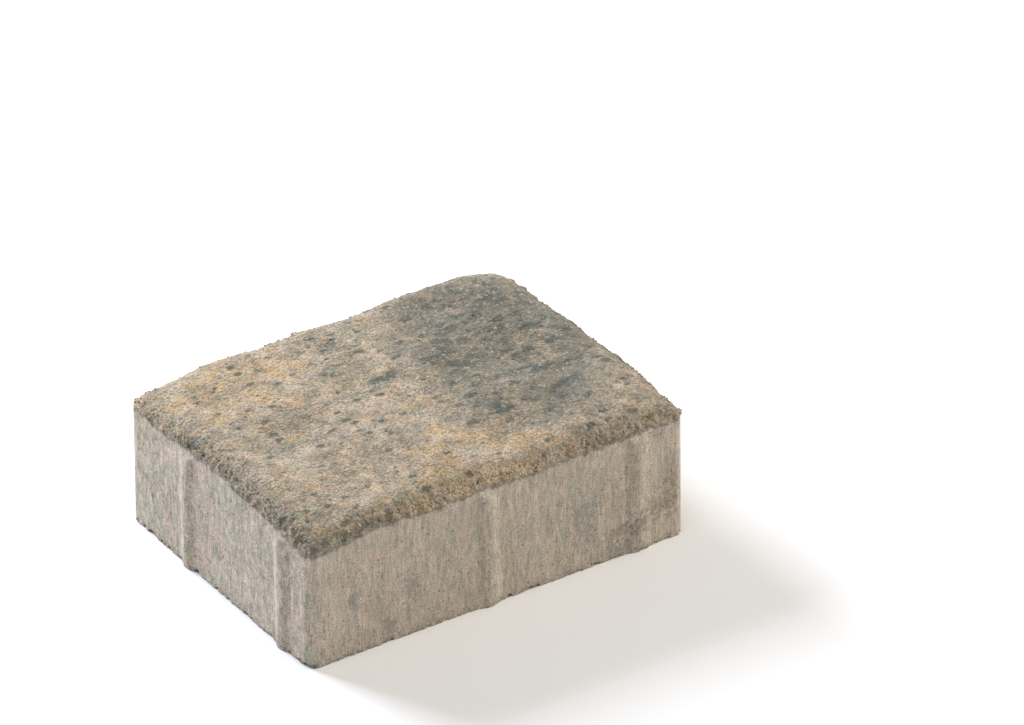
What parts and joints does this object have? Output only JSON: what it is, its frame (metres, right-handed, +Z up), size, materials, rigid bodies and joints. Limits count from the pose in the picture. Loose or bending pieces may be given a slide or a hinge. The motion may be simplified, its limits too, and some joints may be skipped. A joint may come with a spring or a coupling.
{
  "type": "paving stone",
  "caption": "Rectangular cast concrete paving stone with a rough pillowed top, smooth moulded sides and low upright spacer ribs on every side.",
  "frame": {"origin": "middle of the flat underside, at the middle of the stone's length and width", "axes": "+X along the length, +Y across the width, +Z up to the rough top, as the stone is laid"},
  "size_m": [0.2006, 0.1506, 0.0733],
  "materials": {
    "concrete": "smooth moulded sides, rough sandy top in blended beige, tan and grey"
  },
  "bodies": {
    "root": {"paving_stone": "concrete"}
  },
  "joints": []
}
